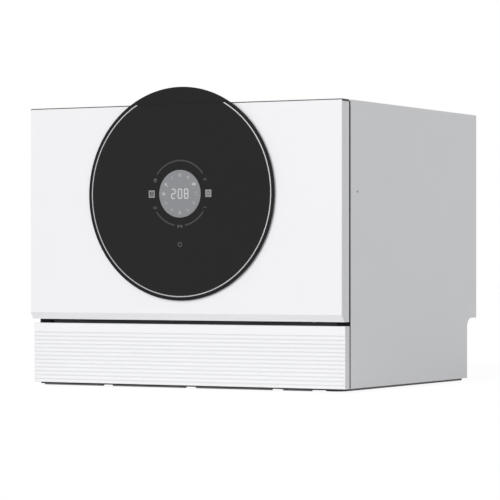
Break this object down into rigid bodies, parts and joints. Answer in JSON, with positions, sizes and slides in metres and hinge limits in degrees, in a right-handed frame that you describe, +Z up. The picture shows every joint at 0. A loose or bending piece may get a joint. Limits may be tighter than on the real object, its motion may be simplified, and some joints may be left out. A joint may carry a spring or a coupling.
{
  "type": "countertop dishwasher",
  "caption": "Compact countertop dishwasher with a drop-down door, round black control disc that doubles as the handle, grooved kick panel and roll-out rack.",
  "frame": {"origin": "on the table under the middle of the overall box", "axes": "+X to the right seen from the front, +Y to the back, +Z up"},
  "size_m": [0.55, 0.504, 0.464],
  "materials": {
    "base_plastic": "fine moulded grain",
    "rubber": "matt",
    "side_paint": "satin powder coat",
    "top_paint": "satin powder coat",
    "white_moulding": "satin",
    "door_white": "satin",
    "tub_steel": "brushed",
    "seal_rubber": "matt",
    "runner_plastic": "moulded",
    "sump_plastic": "moulded",
    "filter_steel": "perforated",
    "filter_plastic": "moulded",
    "spray_plastic": "moulded",
    "pump_body": "moulded",
    "drain_pump_body": "moulded",
    "hose_plastic": "corrugated",
    "heater_steel": "drawn tube",
    "valve_plastic": "moulded",
    "black_plastic": "moulded",
    "bracket_steel": "zinc plated",
    "screw_steel": "blackened",
    "cap_dark": "satin",
    "disc_black": "deep gloss",
    "ring_silver": "satin chrome",
    "disc_glass": "black printed glass",
    "window_smoke": "smoked window",
    "board_green": "circuit board",
    "liner_steel": "brushed",
    "tray_plastic": "moulded",
    "lid_plastic": "moulded",
    "button_blue": "moulded",
    "knob_grey": "moulded",
    "hook_brass": "passivated",
    "rack_coat": "nylon dip coat",
    "basket_plastic": "moulded",
    "wheel_plastic": "moulded",
    "float_plastic": "moulded"
  },
  "bodies": {
    "cabinet": {"base_tray": "base_plastic", "feet": "rubber", "side_panel_left": "side_paint", "side_panel_right": "side_paint", "top_panel": "top_paint", "rear_panel": "side_paint", "kick_panel": "white_moulding", "tub": "tub_steel", "tub_gasket": "seal_rubber", "runner_left": "runner_plastic", "runner_right": "runner_plastic", "sump": "sump_plastic", "main_filter": "filter_steel", "spray_hub": "spray_plastic", "wash_pump": "pump_body", "drain_pump": "drain_pump_body", "drain_hose": "hose_plastic", "heater": "heater_steel", "inlet_valve": "valve_plastic", "drain_spigot": "black_plastic", "cord_gland": "black_plastic", "air_breaker": "sump_plastic", "softener": "sump_plastic", "float_switch": "valve_plastic", "power_box": "black_plastic", "hinge_bracket_left": "bracket_steel", "hinge_bracket_right": "bracket_steel", "latch_housing": "black_plastic", "panel_screws": "screw_steel"},
    "door": {"door_panel": "door_white", "door_top_cap": "cap_dark", "disc_rim": "disc_black", "disc_trim_ring": "ring_silver", "disc_glass": "disc_glass", "display_window": "window_smoke", "disc_housing": "black_plastic", "display_board": "board_green", "door_liner": "liner_steel", "sill_seal": "seal_rubber", "hinge_arm_left": "bracket_steel", "hinge_arm_right": "bracket_steel", "latch_strike": "bracket_steel", "detergent_tray": "tray_plastic", "door_screws": "screw_steel"},
    "detergent_lid": {"detergent_lid": "lid_plastic"},
    "dispenser_button": {"dispenser_button": "button_blue"},
    "rinse_cap": {"rinse_cap": "knob_grey"},
    "latch_hook": {"latch_hook": "hook_brass"},
    "filter_cup": {"filter_cup": "filter_plastic"},
    "spray_arm": {"spray_arm": "spray_plastic"},
    "salt_cap": {"salt_cap": "knob_grey"},
    "float": {"float": "float_plastic"},
    "rack": {"rack_basket": "rack_coat", "rack_handle": "basket_plastic", "rack_tines": "rack_coat", "cutlery_basket": "basket_plastic"},
    "cup_shelf_left": {"cup_shelf_left": "rack_coat"},
    "cup_shelf_right": {"cup_shelf_right": "rack_coat"},
    "wheels_front": {"wheels_front": "wheel_plastic"},
    "wheels_rear": {"wheels_rear": "wheel_plastic"}
  },
  "joints": [
    {"name": "door_hinge", "type": "hinge", "parent": "cabinet", "child": "door", "pos_m": [0, -0.2355, 0.114], "axis": [1, 0, 0], "range_deg": [0, 90]},
    {"name": "latch_hook_pivot", "type": "hinge", "parent": "cabinet", "child": "latch_hook", "pos_m": [0, -0.1861, 0.4313], "axis": [1, 0, 0], "range_deg": [0, 20], "stiffness_Nm_per_rad": 0.05},
    {"name": "rack_slide", "type": "slide", "parent": "cabinet", "child": "rack", "axis": [0, -1, 0], "range_m": [0, 0.01]},
    {"name": "wheels_front_spin", "type": "hinge", "parent": "rack", "child": "wheels_front", "pos_m": [0, -0.1412, 0.1608], "axis": [1, 0, 0], "range_deg": [0, 60]},
    {"name": "wheels_rear_spin", "type": "hinge", "parent": "rack", "child": "wheels_rear", "pos_m": [0, 0.1628, 0.1608], "axis": [1, 0, 0], "range_deg": [0, 60]},
    {"name": "cup_shelf_left_fold", "type": "hinge", "parent": "rack", "child": "cup_shelf_left", "pos_m": [-0.2138, 0, 0.2998], "axis": [0, -1, 0], "range_deg": [0, 80]},
    {"name": "cup_shelf_right_fold", "type": "hinge", "parent": "rack", "child": "cup_shelf_right", "pos_m": [0.2138, 0, 0.2998], "axis": [0, 1, 0], "range_deg": [0, 80]},
    {"name": "spray_arm_spin", "type": "hinge", "parent": "cabinet", "child": "spray_arm", "pos_m": [0, 0.018, 0.146], "axis": [0, 0, 1], "continuous": true},
    {"name": "filter_cup_turn", "type": "hinge", "parent": "cabinet", "child": "filter_cup", "pos_m": [0, -0.062, 0.126], "axis": [0, 0, 1], "range_deg": [0, 90]},
    {"name": "salt_cap_turn", "type": "hinge", "parent": "cabinet", "child": "salt_cap", "pos_m": [-0.155, 0.09, 0.126], "axis": [0, 0, 1], "range_deg": [0, 360]},
    {"name": "float_lift", "type": "slide", "parent": "cabinet", "child": "float", "axis": [0, 0, 1], "range_m": [0, 0.008]},
    {"name": "detergent_lid_slide", "type": "slide", "parent": "door", "child": "detergent_lid", "axis": [-1, 0, 0], "range_m": [0, 0.048]},
    {"name": "dispenser_button_push", "type": "slide", "parent": "door", "child": "dispenser_button", "axis": [0, -1, 0], "range_m": [0, 0.003], "stiffness_N_per_m": 250},
    {"name": "rinse_cap_turn", "type": "hinge", "parent": "door", "child": "rinse_cap", "pos_m": [0.042, -0.2012, 0.2874], "axis": [0, 1, 0], "range_deg": [0, 90]}
  ],
  "couplings": [
    {"joint": "wheels_front_spin", "follows": "rack_slide", "rad_per_m": 83.333},
    {"joint": "wheels_rear_spin", "follows": "rack_slide", "rad_per_m": 83.333}
  ]
}
